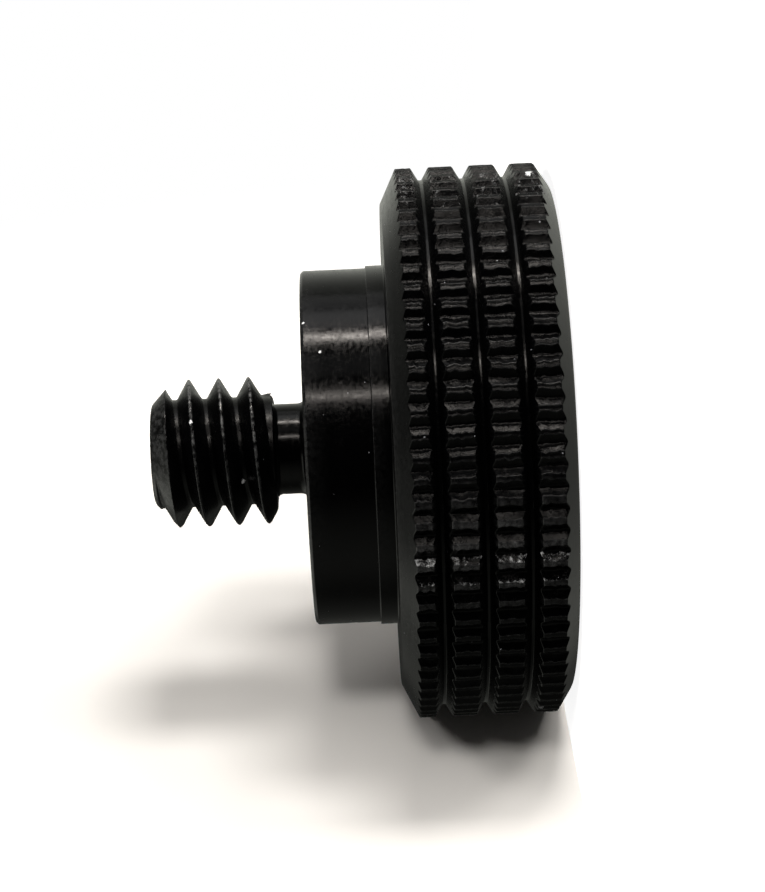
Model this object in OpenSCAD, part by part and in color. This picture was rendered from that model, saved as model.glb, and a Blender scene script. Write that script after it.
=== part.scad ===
// Knurled thumb screw, turned from one bar: a wide ribbed head, a plain collar,
// an undercut neck and a short 1/4-20 threaded stud.
// All sizes are millimetres. The head stands on its flat outer face at z = 0
// and the stud points along +z.

/* [Head] */
// diameter of the rim over the crests of the knurl
head_d = 23.3; // [21:0.1:30]
// width of the head from face to face
head_w = 7.05; // [6.8:0.05:9]
// outer chamfer, measured along the axis
outer_chamfer_w = 0.6; // [0.3:0.05:0.8]
// outer chamfer, measured across the radius
outer_chamfer_h = 0.85; // [0.4:0.05:1.4]
// chamfer on the collar side, measured along the axis
inner_chamfer_w = 0.7; // [0.3:0.05:0.9]
// chamfer on the collar side, measured across the radius
inner_chamfer_h = 1.35; // [0.6:0.05:1.8]
// small edge break round both faces of the head
face_break = 0.1; // [0.05:0.01:0.2]

/* [Ring grooves] */
// number of grooves that split the rim into rings
groove_count = 3; // [1:1:3]
// distance from one groove to the next
groove_pitch = 1.73; // [1.5:0.01:1.8]
// distance from the outer face to the first groove
groove_first = 1.87; // [1.75:0.01:2]
// depth of each groove below the crests
groove_deep = 0.53; // [0.4:0.01:0.6]
// flat floor of each groove
groove_floor = 0.16; // [0.1:0.01:0.25]
// angle between the two flanks of a groove
groove_angle = 60; // [40:5:65]

/* [Knurl] */
// number of straight teeth round the rim
tooth_count = 84; // [60:1:96]
// flat left on the crest of each tooth
tooth_flat = 0.2; // [0.1:0.01:0.3]
// depth of the gullet between two teeth
tooth_deep = 0.24; // [0.15:0.01:0.32]

/* [Collar] */
// diameter of the plain collar
collar_d = 15.05; // [11:0.05:17]
// length of the collar from the head to its end face
collar_l = 3.5; // [2:0.05:6]
// edge break round the end face of the collar
collar_break = 0.12; // [0.05:0.01:0.3]
// radial step up to the land beside the head
land_rise = 0.1; // [0.05:0.01:0.2]
// length of the land beside the head
land_l = 0.75; // [0.4:0.05:1.2]

/* [Neck] */
// diameter of the undercut neck
neck_d = 3.85; // [3:0.05:4.3]
// length of the neck from the collar to the relief wall that ends the thread
neck_l = 1.35; // [1:0.05:2]
// fillet where the neck meets the collar
neck_fillet = 0.4; // [0.2:0.05:0.6]
// fillet where the neck meets the relief wall
relief_fillet = 0.2; // [0.1:0.05:0.3]
// slope of the relief wall, off the radius
relief_angle = 6; // [2:1:30]

/* [Thread] */
// outside diameter of the thread
thread_d = 6.3; // [5.6:0.01:6.35]
// pitch of the thread: 20 turns to the inch
thread_pitch = 1.27; // [1.2:0.01:1.6]
// angle between the flanks of the thread
thread_angle = 60; // [50:1:60]
// depth of the thread from crest to root
thread_deep = 0.85; // [0.6:0.01:0.88]
// flat on the crest of the thread
crest_flat = 0.08; // [0.04:0.01:0.12]
// length of the stud from the collar to its tip
stud_l = 6.57; // [5:0.05:16]
// diameter of the flat tip
tip_d = 4.25; // [3.4:0.05:4.5]
// slope of the lead chamfer, off the axis
lead_angle = 43; // [30:1:50]
// angle round the stud at which the crest would leave the tip
thread_turn = 91; // [0:1:359]
// angle over which the ridge rises out of the relief to its full height
runout_turn = 100; // [60:5:180]

/* [Hidden] */
$fn = 144;
turn_facets = 40;
margin = 1;

head_r = head_d / 2;
outer_face_r = head_r - outer_chamfer_h;
inner_face_r = head_r - inner_chamfer_h;
collar_r = collar_d / 2;
land_r = collar_r + land_rise;
neck_r = neck_d / 2;
thread_r = thread_d / 2;
root_r = thread_r - thread_deep;
tip_r = tip_d / 2;

collar_z = head_w + collar_l;
land_z = head_w + land_l;
relief_z = collar_z + neck_l;
relief_end_z = relief_z + (thread_r - neck_r) * tan(relief_angle);
tip_z = collar_z + stud_l;
lead_z = tip_z - (thread_r - tip_r) / tan(lead_angle);
neck_mid_z = collar_z + (neck_l + neck_fillet) / 2;

// the circle that rounds the inside corner between the neck and the sloped relief wall
relief_centre_r = neck_r + relief_fillet;
relief_centre_z = relief_z + relief_fillet * tan(relief_angle) - relief_fillet / cos(relief_angle);
relief_touch_r = relief_centre_r - relief_fillet * sin(relief_angle);
relief_touch_z = relief_centre_z + relief_fillet * cos(relief_angle);

groove_half_floor = groove_floor / 2;
groove_half_mouth = groove_half_floor + (groove_deep + margin) * tan(groove_angle / 2);
tooth_angle = 360 / tooth_count;
flat_angle = tooth_flat / head_r * 180 / PI;

// the ridge of the thread reaches a little below the root so that it bites into the core
ridge_bite = 0.06;
ridge_foot_r = root_r - ridge_bite;
ridge_start_r = root_r - ridge_bite / 2;
foot_half = ridge_half(ridge_foot_r);
ridge_from_z = relief_z - foot_half / 3;
ridge_turns = (tip_z + foot_half - ridge_from_z) / thread_pitch;
ridge_steps = ceil(ridge_turns * turn_facets);
runout_steps = runout_turn / 360 * turn_facets;

function polar(r, a) = [r * cos(a), r * sin(a)];

// one tooth: the two corners of its flat crest, then the bottom of the gullet after it
function tooth(i) = [
    polar(head_r, i * tooth_angle - flat_angle / 2),
    polar(head_r, i * tooth_angle + flat_angle / 2),
    polar(head_r - tooth_deep, (i + 0.5) * tooth_angle)
];

// half the width of the ridge between its two flanks, at radius r
function ridge_half(r) = crest_flat / 2 + (thread_r - r) * tan(thread_angle / 2);

// top of the ridge at step i: it comes out of the core and rises to the full thread
function ridge_top(i) = ridge_start_r + (thread_r - ridge_start_r) * min(1, i / runout_steps);

// the four corners of the ridge's section, turned to step i of the helix
function ridge_section(i) =
    let (a = thread_turn + (ridge_from_z - tip_z) / thread_pitch * 360 + i * 360 / turn_facets,
         z = ridge_from_z + i * thread_pitch / turn_facets,
         top = ridge_top(i))
    [
        [each polar(ridge_foot_r, a), z - foot_half],
        [each polar(top, a), z - ridge_half(top)],
        [each polar(top, a), z + ridge_half(top)],
        [each polar(ridge_foot_r, a), z + foot_half]
    ];

// the bar that the knurling wheel has run along, from below the head to the neck
module knurled_bar() {
    translate([0, 0, -margin])
        linear_extrude(height = neck_mid_z + margin)
            polygon([for (i = [0 : tooth_count - 1]) each tooth(i)]);
}

// the plain rod under the thread
module thread_core() {
    translate([0, 0, neck_mid_z - margin])
        cylinder(h = tip_z - neck_mid_z + 2 * margin, r = root_r);
}

// the V ridge wound round the core
module thread_ridge() {
    last = 4 * ridge_steps;
    polyhedron(
        points = [for (i = [0 : ridge_steps]) each ridge_section(i)],
        faces = concat(
            [[3, 2, 1, 0]],
            [for (i = [0 : ridge_steps - 1], k = [0 : 3])
                let (a = 4 * i + k, b = 4 * i + (k + 1) % 4) [a, b + 4, a + 4]],
            [for (i = [0 : ridge_steps - 1], k = [0 : 3])
                let (a = 4 * i + k, b = 4 * i + (k + 1) % 4) [a, b, b + 4]],
            [[last, last + 1, last + 2, last + 3]]
        )
    );
}

// half of the outline that the lathe tool follows, from the outer face to the tip
module outline() {
    difference() {
        union() {
            polygon([
                [0, 0],
                [outer_face_r - face_break, 0],
                [outer_face_r, face_break / 2],
                [head_r, outer_chamfer_w],
                [head_r, head_w - inner_chamfer_w],
                [inner_face_r, head_w - face_break / 2],
                [inner_face_r - face_break, head_w],
                [land_r, head_w],
                [land_r, land_z],
                [collar_r, land_z],
                [collar_r, collar_z - collar_break],
                [collar_r - collar_break, collar_z],
                [neck_r, collar_z],
                [neck_r, relief_z],
                [thread_r, relief_end_z],
                [thread_r, lead_z],
                [tip_r, tip_z],
                [0, tip_z]
            ]);
            translate([neck_r - margin, collar_z - margin])
                square([neck_fillet + margin, neck_fillet + margin]);
            polygon([
                [neck_r - margin, relief_centre_z],
                [relief_centre_r, relief_centre_z],
                [relief_touch_r, relief_touch_z],
                [neck_r - margin, relief_touch_z]
            ]);
        }
        translate([neck_r + neck_fillet, collar_z + neck_fillet])
            circle(r = neck_fillet);
        translate([relief_centre_r, relief_centre_z])
            circle(r = relief_fillet);
        for (i = [0 : groove_count - 1])
            translate([head_r - groove_deep, groove_first + i * groove_pitch])
                ring_groove();
    }
}

// section of one ring groove, opening outwards from its flat floor
module ring_groove() {
    polygon([
        [0, -groove_half_floor],
        [groove_deep + margin, -groove_half_mouth],
        [groove_deep + margin, groove_half_mouth],
        [0, groove_half_floor]
    ]);
}

// the finished screw: the knurled and threaded stock cut to the turned outline
module thumb_screw() {
    color([0.07, 0.07, 0.075])
        intersection() {
            union() {
                knurled_bar();
                thread_core();
                thread_ridge();
            }
            rotate_extrude()
                outline();
        }
}

thumb_screw();
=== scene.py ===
# %% [markdown]
# # A knurled thumb screw
#
# The part is a black thumb screw, turned from one bar: a wide head with a knurled rim
# split into four rings, a plain collar, a thin neck and a short threaded stud.
# The measured model is loaded first and stays as it is. A finer skin is then built over
# it in mesh code, with the small roundings and the wear that the solid leaves out, and a
# few painted reflections. Its finishes come next, then the room, the lamps, the paper and
# the camera.

# %% Load the measured model
import math

import bmesh
import bpy
import numpy as np
from mathutils import Matrix, Vector


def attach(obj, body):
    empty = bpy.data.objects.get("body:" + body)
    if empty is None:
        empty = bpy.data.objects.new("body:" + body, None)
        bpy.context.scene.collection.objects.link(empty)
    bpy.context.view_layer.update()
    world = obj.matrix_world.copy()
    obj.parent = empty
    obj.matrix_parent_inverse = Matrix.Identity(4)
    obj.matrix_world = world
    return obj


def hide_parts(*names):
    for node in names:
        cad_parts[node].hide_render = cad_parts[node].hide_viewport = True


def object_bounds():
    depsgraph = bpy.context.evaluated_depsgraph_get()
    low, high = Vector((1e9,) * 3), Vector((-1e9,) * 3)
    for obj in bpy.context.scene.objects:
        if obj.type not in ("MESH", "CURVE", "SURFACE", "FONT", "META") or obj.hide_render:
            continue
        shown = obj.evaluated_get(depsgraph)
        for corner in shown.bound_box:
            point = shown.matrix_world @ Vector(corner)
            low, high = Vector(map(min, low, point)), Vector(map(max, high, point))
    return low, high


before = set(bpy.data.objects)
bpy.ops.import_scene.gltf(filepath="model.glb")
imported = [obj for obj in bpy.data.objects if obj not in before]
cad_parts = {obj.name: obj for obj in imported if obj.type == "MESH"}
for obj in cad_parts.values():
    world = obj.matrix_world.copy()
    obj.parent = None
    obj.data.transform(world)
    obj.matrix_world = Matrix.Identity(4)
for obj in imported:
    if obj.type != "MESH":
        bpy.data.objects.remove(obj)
cad_low, cad_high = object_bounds()
print("measured pieces:", sorted(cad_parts))
print("measured box in mm:", [round(v * 1000, 3) for v in (*cad_low, *cad_high)])

# %% [markdown]
# ## Sizes
#
# Every length is in millimetres, as a turner would read it off a drawing, and becomes
# metres only when a mesh is made. The head stands on its flat face at z = 0 and the stud
# points up. The rim's radius and the height are read from the loaded model, so that the
# skin can't drift away from the solid.

# %% Sizes of the head
mm = 0.001
rim_r = cad_high.x / mm
head_w = 7.05
outer_face_r = 10.80
outer_chamfer_z = 0.60
inner_face_r = 10.30
inner_chamfer_z = 6.35
face_break = 0.10

groove_middles = (1.87, 3.60, 5.33)
groove_depth = 0.53
groove_floor_r = rim_r - groove_depth
groove_half_floor = 0.08
groove_slope = math.tan(math.radians(30))
print(f"head {2 * rim_r:.3f} mm across and {head_w} mm wide, {len(groove_middles)} grooves")

# %% Sizes of the collar and the neck
land_r = 7.625
land_z = 7.80
collar_r = 7.525
collar_z = 10.55
collar_break = 0.12

neck_r = 1.925
neck_fillet = 0.40
relief_z = 11.90
relief_fillet = 0.20
relief_slope = math.tan(math.radians(6))
print(f"collar {2 * collar_r} mm across, neck {2 * neck_r} mm")

# %% Sizes of the threaded stud
tip_z = cad_high.z / mm
tip_r = 2.125
lead_slope = math.tan(math.radians(43))
thread_r = 3.15
root_r = 2.30
pitch = 1.27
crest_half = 0.04
flank_slope = math.tan(math.radians(30))
thread_turn = 91.0
thread_starts_z = 11.71
thread_starts_r = 2.27
runout_turn = 100.0
print(f"thread {2 * thread_r} mm across, pitch {pitch} mm, tip at {tip_z:.3f} mm")

# %% [markdown]
# ## A notebook for one mesh
#
# The screw is one piece of metal, so it is one closed mesh. It is laid out like wallpaper
# round a pole: columns run along the screw and rows run round it. A small collector keeps
# the points and the faces, how worn each point is and how much reflection is painted on
# it, where the black is worn right through, and which finish each face takes.
# A ready-made cylinder with a displacement texture would be quicker, but it can't put an
# edge exactly where the lathe tool and the knurling wheel left one.

# %% Collect the points, with how worn each one is and how much reflection is painted on it
points = []
# Each point's note of wear also carries the reflections painted on the knurl's crests and on the lead
# chamfer.
worn = []
bared = []
unworn = 0.0
barely = 0.05
lightly = 0.1
somewhat = 0.2
clearly = 0.35
fully = 1.0


def add_row(angles, radii, heights, wear_and_sheen, bare=0.0):
    """One row of points round the axis, from angles in degrees, radii and heights."""
    count = len(angles)
    turn = np.radians(angles)
    radii = np.broadcast_to(radii, count)
    heights = np.broadcast_to(heights, count)
    first = len(points)
    points.extend(zip(radii * np.cos(turn), radii * np.sin(turn), heights))
    worn.extend(np.broadcast_to(wear_and_sheen, count))
    bared.extend(np.broadcast_to(bare, count))
    return np.arange(first, first + count)


def add_centre(height):
    """One point on the axis, to close an end of the screw."""
    points.append((0.0, 0.0, height))
    worn.append(unworn)
    bared.append(0.0)
    return len(points) - 1


# %% Collect the faces, with their finishes
faces = []
finish_of_face = []
TURNED, KNURLED, THREADED = range(3)


def add_face(corners, finish):
    """One face from the numbers of its points."""
    faces.append(tuple(corners))
    finish_of_face.append(finish)


def join_rows(lower, upper, finish):
    """Squares between two rows with as many points each, closed round the axis."""
    count = len(lower)
    for k in range(count):
        after = (k + 1) % count
        add_face((lower[k], lower[after], upper[after], upper[k]), finish)


def join_to_centre(row, centre, finish):
    """A fan of triangles from a row in to one point on the axis."""
    for k in range(len(row)):
        add_face((row[k], row[(k + 1) % len(row)], centre), finish)


def join_fine_to_coarse(fine, coarse, finish):
    """A flat strip from a fine row to a coarse one that keeps every few columns."""
    step = len(fine) // len(coarse)
    middle = step // 2 + 1
    for k in range(len(coarse)):
        after = (k + 1) % len(coarse)
        edge = [fine[(k * step + i) % len(fine)] for i in range(step + 1)]
        add_face((*edge[:middle], coarse[k]), finish)
        add_face((*edge[middle - 1:], coarse[after], coarse[k]), finish)


# %% [markdown]
# ## The knurled rim
#
# A knurling wheel is pressed into the turning blank and leaves 84 teeth, each with a flat
# crest and a gullet beside it. The ring grooves and the chamfers are cut afterwards, so
# their edges climb and fall from tooth to tooth. Copies of one modelled tooth would all
# be alike, and boolean cuts through them would leave slivers. So ten columns draw each
# tooth: its gullet, two flanks, the rounded edges of the crest and the crest itself.
# The metal is squeezed and torn as the wheel goes over it. A seeded generator gives each
# tooth its own depth, shift and lean, and is the same on every run.

# %% The ten columns of one tooth
teeth = 84
tooth_turn = 360 / teeth

crest_side = 0.09
crest_bend = 0.125
crest_end = 0.17
flank_middle = 0.25
gullet_side = 0.41
station = np.array([-0.5, -gullet_side, -crest_end, -crest_bend, -crest_side,
                    0.0, crest_side, crest_bend, crest_end, gullet_side])

crest_dip = 0.018
bend_drop = 0.006
end_drop = 0.030
side_drop = 0.203
gullet_drop = 0.222
drop = np.array([gullet_drop, side_drop, end_drop, bend_drop, 0.0,
                 crest_dip, 0.0, bend_drop, end_drop, side_drop])

from_middle = np.abs(station)
crest_share = np.clip(1 - from_middle / crest_end, 0, 1)
crest_edge = np.interp(from_middle, (0.0, crest_side, crest_bend, crest_end), (0.0, 0.25, 1.0, 0.0))
flank_share = np.clip(1 - np.abs(from_middle - flank_middle) / flank_middle, 0, 1)
print(f"a tooth is {tooth_turn:.3f} degrees wide and {gullet_drop} mm deep")

# %% All the columns round the rim
seed = 84
depth_spread = 0.05
shift_spread = 0.012
lean_spread = 0.02
chance = np.random.default_rng(seed)
tooth_depth = 1 + chance.normal(0, depth_spread, teeth)
tooth_shift = chance.normal(0, shift_spread, teeth)
tooth_lean = chance.normal(0, lean_spread, teeth)

fine_angle = np.concatenate([(i + station) * tooth_turn for i in range(teeth)])
fine_drop = np.concatenate([drop * tooth_depth[i] for i in range(teeth)])
fine_crest = np.tile(crest_share, teeth)
fine_edge = np.tile(crest_edge, teeth)
fine_flank = np.tile(flank_share, teeth)
fine_side = np.tile(np.sign(station), teeth)
fine_station = np.tile(station, teeth)
fine_tooth = np.repeat(np.arange(teeth), len(station))
tooth_r = rim_r - fine_drop
print(f"{len(fine_angle)} columns round the rim, {len(station)} to a tooth")

# %% [markdown]
# ## Wear and painted reflection on the knurl
#
# Fingers turn the screw by its knurl, so the black goes first from the edges of the crests.
# In one patch of the rim whole crests are painted light: a painted reflection of the lit
# paper, stronger on the rings nearer the collar. Three teeth in that patch are painted
# pale, one on its crest, one along its flank and one along its crest's edge. A quarter
# turn away a patch of the rim is painted pale in scaly flecks.
# Such marks can be painted on by hand. A number kept on each point is exact and stays with
# its tooth, and the finishes turn it into ragged colour later.

# %% Where the black is worn, and where a reflection is painted on
def fade_round(angles, middle, half, power=2):
    """One in a direction round the axis, fading to nothing on both sides of it."""
    away = (angles - middle + 180) % 360 - 180
    return np.exp(-(away / half) ** power)


# Round this angle whole crests are painted light: a painted reflection of the lit paper, not wear.
paper_reflection_angle = -114.0
paper_reflection_half = 9
paper_reflection_strength = 1.6
scaly_angle = -27.0
scaly_half = 14
scaly_bare = 0.95
tooth_bare = 1.4
next_tooth_bare = 0.75
painted_paper_reflection = paper_reflection_strength * fade_round(fine_angle, paper_reflection_angle, paper_reflection_half)
scaly = scaly_bare * fade_round(fine_angle, scaly_angle, scaly_half, power=4)


def on_tooth(number, low, high):
    """One on part of one tooth, from a low to a high place across it, and zero elsewhere."""
    return (fine_tooth == number) & (fine_station > low) & (fine_station < high)


fine_bare = scaly + tooth_bare * on_tooth(57, low=0.10, high=0.45)
fine_bare = fine_bare + tooth_bare * on_tooth(56, low=0.10, high=0.20)
fine_bare = fine_bare + next_tooth_bare * on_tooth(58, low=-0.10, high=0.15)
print(f"{np.count_nonzero(painted_paper_reflection > 0.1)} columns rubbed, {np.count_nonzero(fine_bare > 0.1)} scaly or bare")

# %% One row over the knurl
tear_depth = 0.030
tear_slide = 0.022
tear_width = 0.03
smooth_move = 0.4
least_wear = 0.45
edge_shine = 0.40
# The next three numbers shape the painted reflection: its share on a crest, and the heights over which it
# grows.
crest_shine = 1.3
shine_from_z = -1.5
shine_over = 4.0


def knurl_row(radii, heights, wear_and_sheen, rough):
    """A row over the knurl; rough is how strongly the tearing of the metal shows."""
    lift = chance.random(teeth) ** 2 * tear_depth * rough
    slide = tooth_shift + chance.normal(0, tear_slide, teeth) * rough
    widen = chance.normal(0, tear_width, teeth) * rough + tooth_lean
    patchy = least_wear + (1 - least_wear) * chance.random(teeth)[fine_tooth]
    radii = np.broadcast_to(radii, len(fine_angle)) - lift[fine_tooth] * fine_crest
    move = slide[fine_tooth] + widen[fine_tooth] * fine_flank * fine_side
    amount = min(1.0, smooth_move + rough)
    # The painted reflection of the lit paper grows with height towards the collar; the wear on the crest
    # edges does not.
    further_up = np.clip((np.mean(heights) - shine_from_z) / shine_over, 0, 1)
    shine = edge_shine * fine_edge + painted_paper_reflection * further_up * np.clip(fine_crest * crest_shine, 0, 1)
    angles = fine_angle + move * tooth_turn * amount
    return add_row(angles, radii, heights, wear_and_sheen * patchy * shine, wear_and_sheen * patchy * fine_bare)


# %% Rows that the rim uses again and again
corner_run = 0.035
corner_cut = 0.008
corner_rise = 0.004
edge_tear = 0.3
ring_tear = 1.0
# Ring rows scale the wear and the painted reflection alike.
ring_wear_and_sheen = 0.9
rows_on_a_ring = 7


def crest_edge_row(height):
    """The worn row just below the crests, where a cut begins."""
    return knurl_row(tooth_r - corner_cut, height, fully, edge_tear)


def crest_foot_row(height):
    """The row a little further down the cut."""
    return knurl_row(tooth_r - corner_run, height, somewhat, rough=0)


def ring_rows(land_from, land_to):
    """The rows over one ring of teeth, from one edge of its crests to the other."""
    made = []
    for part in np.linspace(0, 1, rows_on_a_ring):
        height = land_from + (land_to - land_from) * part
        made.append(knurl_row(tooth_r, height, ring_wear_and_sheen, ring_tear))
    return made


def chamfer_row(start_r, start_z, slope, part):
    """A row part of the way from a face up a chamfer to the teeth."""
    here = start_r + (tooth_r - start_r) * part
    return add_row(fine_angle, here, start_z + (here - start_r) * slope, barely)


# %% The chamfer beside the outer face
bend = 0.02
bend_rise = 0.008
break_rise = 0.040
past_break = 0.03
outer_slope = (outer_chamfer_z - face_break / 2) / (rim_r - outer_face_r)
outer_cross = face_break / 2 + (tooth_r - outer_face_r) * outer_slope
wobble_share = 0.35
wobble_limit = 1.5
groove_wobble = 1 + wobble_share * chance.normal(0, 1, teeth).clip(-wobble_limit, wobble_limit)[fine_tooth]

rim_rows = [
    add_row(fine_angle, outer_face_r - face_break - bend, 0.0, somewhat),
    add_row(fine_angle, outer_face_r - face_break + bend, bend_rise, lightly),
    add_row(fine_angle, outer_face_r - bend, break_rise, lightly),
    add_row(fine_angle, outer_face_r + past_break, face_break / 2 + past_break * outer_slope, lightly),
    chamfer_row(outer_face_r, face_break / 2, outer_slope, part=0.4),
    chamfer_row(outer_face_r, face_break / 2, outer_slope, part=0.8),
]
first_knurled = len(rim_rows)
rim_rows.append(crest_foot_row(outer_cross - corner_run * outer_slope))
rim_rows.append(crest_edge_row(outer_cross - corner_rise))
print(f"outer chamfer reaches {outer_cross.max():.3f} mm up")

# %% [markdown]
# ## The ring grooves
#
# Three V grooves are cut through the knurl with a pointed tool, which leaves four rings.
# The walls slope by 30 degrees, so a shallow tooth meets a wall lower down than a tall
# one, and the edge of each ring is a zigzag. The rows follow each column's own radius and
# that zigzag comes out by itself. The floor is narrow and wavers a little, because the
# knurl below it was never smooth.

# %% Rings and grooves in turn
floor_run = 0.015
floor_half = 0.03
wall_part = 0.45
turned_strips = set()


def floor_rows(middle):
    """The rows of one groove's two walls and its floor, below the crests."""
    half_up = groove_floor_r + (tooth_r - groove_floor_r) * wall_part
    side = groove_half_floor + (half_up - groove_floor_r) * groove_slope
    low_side = groove_half_floor + floor_run * groove_slope
    return [
        add_row(fine_angle, half_up, middle - side, unworn),
        add_row(fine_angle, groove_floor_r + floor_run, middle - low_side, unworn),
        add_row(fine_angle, groove_floor_r, middle - floor_half * groove_wobble, unworn),
        add_row(fine_angle, groove_floor_r, middle + floor_half * groove_wobble, unworn),
        add_row(fine_angle, groove_floor_r + floor_run, middle + low_side, unworn),
        add_row(fine_angle, half_up, middle + side, unworn),
    ]


land_from = outer_cross + corner_run
wall_top = groove_half_floor + (tooth_r - groove_floor_r) * groove_slope
for middle in groove_middles:
    before = middle - wall_top
    after = middle + wall_top
    rim_rows.extend(ring_rows(land_from, before - corner_run))
    rim_rows.append(crest_edge_row(before - corner_rise))
    rim_rows.append(crest_foot_row(before + corner_run * groove_slope))
    floor_strip = len(rim_rows) + 1
    turned_strips.update(range(floor_strip, floor_strip + 3))
    rim_rows.extend(floor_rows(middle))
    rim_rows.append(crest_foot_row(after - corner_run * groove_slope))
    rim_rows.append(crest_edge_row(after + corner_rise))
    land_from = after + corner_run
print(f"{len(rim_rows)} rows up to the last groove, each wall up to {wall_top.max():.3f} mm wide")

# %% The last ring and the chamfer beside the collar
inner_rise = 0.003
past_inner_break = 0.04
inner_slope = (head_w - face_break / 2 - inner_chamfer_z) / (rim_r - inner_face_r)
inner_cross = inner_chamfer_z + (rim_r - tooth_r) * inner_slope
inner_edge_z = head_w - face_break / 2

rim_rows.extend(ring_rows(land_from, inner_cross - corner_run))
last_knurled = len(rim_rows)
rim_rows.append(crest_edge_row(inner_cross + inner_rise))
rim_rows.append(crest_foot_row(inner_cross + corner_run * inner_slope))
rim_rows.append(chamfer_row(inner_face_r, inner_edge_z, -inner_slope, part=0.75))
rim_rows.append(chamfer_row(inner_face_r, inner_edge_z, -inner_slope, part=0.4))
past_r = inner_face_r + past_inner_break
rim_rows.append(add_row(fine_angle, past_r, inner_edge_z - past_inner_break * inner_slope, somewhat))
rim_rows.append(add_row(fine_angle, inner_face_r - bend, head_w - break_rise, clearly))
rim_rows.append(add_row(fine_angle, inner_face_r - face_break + bend, head_w - bend_rise, clearly))
rim_rows.append(add_row(fine_angle, inner_face_r - face_break - bend, head_w, somewhat))

for number in range(len(rim_rows) - 1):
    knurled = first_knurled <= number < last_knurled and number not in turned_strips
    join_rows(rim_rows[number], rim_rows[number + 1], KNURLED if knurled else TURNED)
print(f"{len(rim_rows)} rows over the rim, {len(faces)} faces so far")

# %% [markdown]
# ## Faces, collar and neck
#
# The plain turned surfaces need far fewer columns than the knurl. The flat ring beside
# each chamfer hides the change: every fifth column goes on, the others stop there. A
# lathe tool never leaves a knife edge, so each corner gets two or three close rows. A
# bevel modifier would do that too, but it would also bevel the teeth.

# %% The flat outer face
columns_between = 5
coarse_angle = fine_angle[::columns_between]

first_ring_r = 10.3
inner_rings = (9.0, 6.0, 3.0, 1.0)
inward = add_row(coarse_angle, first_ring_r, 0.0, barely)
join_fine_to_coarse(rim_rows[0], inward, TURNED)
for radius in inner_rings:
    ring = add_row(coarse_angle, radius, 0.0, barely)
    join_rows(inward, ring, TURNED)
    inward = ring
join_to_centre(inward, add_centre(0.0), TURNED)
print(f"{len(coarse_angle)} columns from here on, {len(faces)} faces so far")

# %% Outline of the shoulder and the land, as (radius, height, wear)
shoulder_start_r = 9.90
shoulder_middle_r = 8.60
foot_start = 0.06
foot_bend_r = 0.015
foot_bend_z = 0.012
corner_start = 0.030
corner_bend = 0.008
land_edge_wear = 0.4
outline = [
    (shoulder_start_r, head_w, barely),
    (shoulder_middle_r, head_w, unworn),
    (land_r + foot_start, head_w, unworn),
    (land_r + foot_bend_r, head_w + foot_bend_z, unworn),
    (land_r, head_w + foot_start, unworn),
    (land_r, land_z - corner_start, lightly),
    (land_r - corner_bend, land_z - corner_bend, land_edge_wear),
    (land_r - corner_start, land_z, lightly),
]
print(f"{len(outline)} rows over the shoulder and the land")

# %% Outline of the collar, with a broken edge at its end
step_foot_r = 0.020
step_bend_r = 0.004
step_bend_z = 0.006
collar_rings = (8.70, 9.60)
break_end = 0.03
break_bend = 0.015
break_side = 0.010
break_top = 0.012
end_rings = (6.0, 4.0)
outline += [
    (collar_r + step_foot_r, land_z, unworn),
    (collar_r + step_bend_r, land_z + step_bend_z, unworn),
    (collar_r, land_z + corner_start, unworn),
    *((collar_r, height, unworn) for height in collar_rings),
    (collar_r, collar_z - collar_break - break_end, lightly),
    (collar_r - break_side, collar_z - collar_break + break_bend, clearly),
    (collar_r - collar_break + break_bend, collar_z - break_top, clearly),
    (collar_r - collar_break - break_end, collar_z, lightly),
    *((radius, collar_z, unworn) for radius in end_rings),
]
print(f"{len(outline)} rows as far as the collar's end face")

# %% Outline of the fillet at the neck
fillet_r = neck_r + neck_fillet
beside_fillet = 0.15
fillet_rows = 7
outline.append((fillet_r + beside_fillet, collar_z, unworn))
for part in np.linspace(0, 90, fillet_rows):
    swing = math.radians(part)
    across = fillet_r - neck_fillet * math.sin(swing)
    along = collar_z + neck_fillet - neck_fillet * math.cos(swing)
    outline.append((across, along, unworn))

row = None
for radius, height, wear_and_sheen in outline:
    ring = add_row(coarse_angle, radius, height, wear_and_sheen)
    if row is None:
        join_fine_to_coarse(rim_rows[-1][::-1], ring[::-1], TURNED)
    else:
        join_rows(row, ring, TURNED)
    row = ring
print(f"{len(outline)} rows from the shoulder to the neck")

# %% [markdown]
# ## The thread
#
# The thread is a V ridge that climbs 1.27 mm in each turn and fades into the neck over its
# last quarter turn. A screw modifier makes endless threads easily, but not one that is
# cut off by a chamfer at the tip and by a relief wall at the neck. Here each column takes
# its rows from the ridge itself, so crest, flanks and root stay crisp. Since the ridge
# climbs, the last column meets the first one a turn further on.

# %% How far the thread stands out at a place
turns = np.arange(-5, 1)
corner_softness = 0.035
half_softness = 0.018


def ridge_tops(angle):
    """Height of the middle of each turn of the ridge in this column, and its radius."""
    middle = tip_z + (angle - thread_turn) / 360 * pitch + turns * pitch
    grown = np.clip((middle - thread_starts_z) / pitch * 360 / runout_turn, 0, 1)
    top = np.where(middle < thread_starts_z, 0.0, thread_starts_r + (thread_r - thread_starts_r) * grown)
    return middle, top


def ridge_radius(angle, height):
    """Radius of the sharp thread at one angle, for many heights."""
    middle, top = ridge_tops(angle)
    away = np.abs(height[:, None] - middle[None, :])
    ridge = thread_r - (away - crest_half) / flank_slope
    return np.maximum(root_r, np.minimum(top[None, :], ridge).max(1))


def soft_radius(angle, height):
    """The same radius with its corners rounded, as a real die leaves them."""
    spread = (-corner_softness, -half_softness, 0.0, half_softness, corner_softness)
    return np.mean([ridge_radius(angle, height + d) for d in spread], axis=0)


def lead_radius(height):
    """Radius of the chamfer that leads the thread in, at these heights."""
    return tip_r + (tip_z - height) / lead_slope


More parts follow.
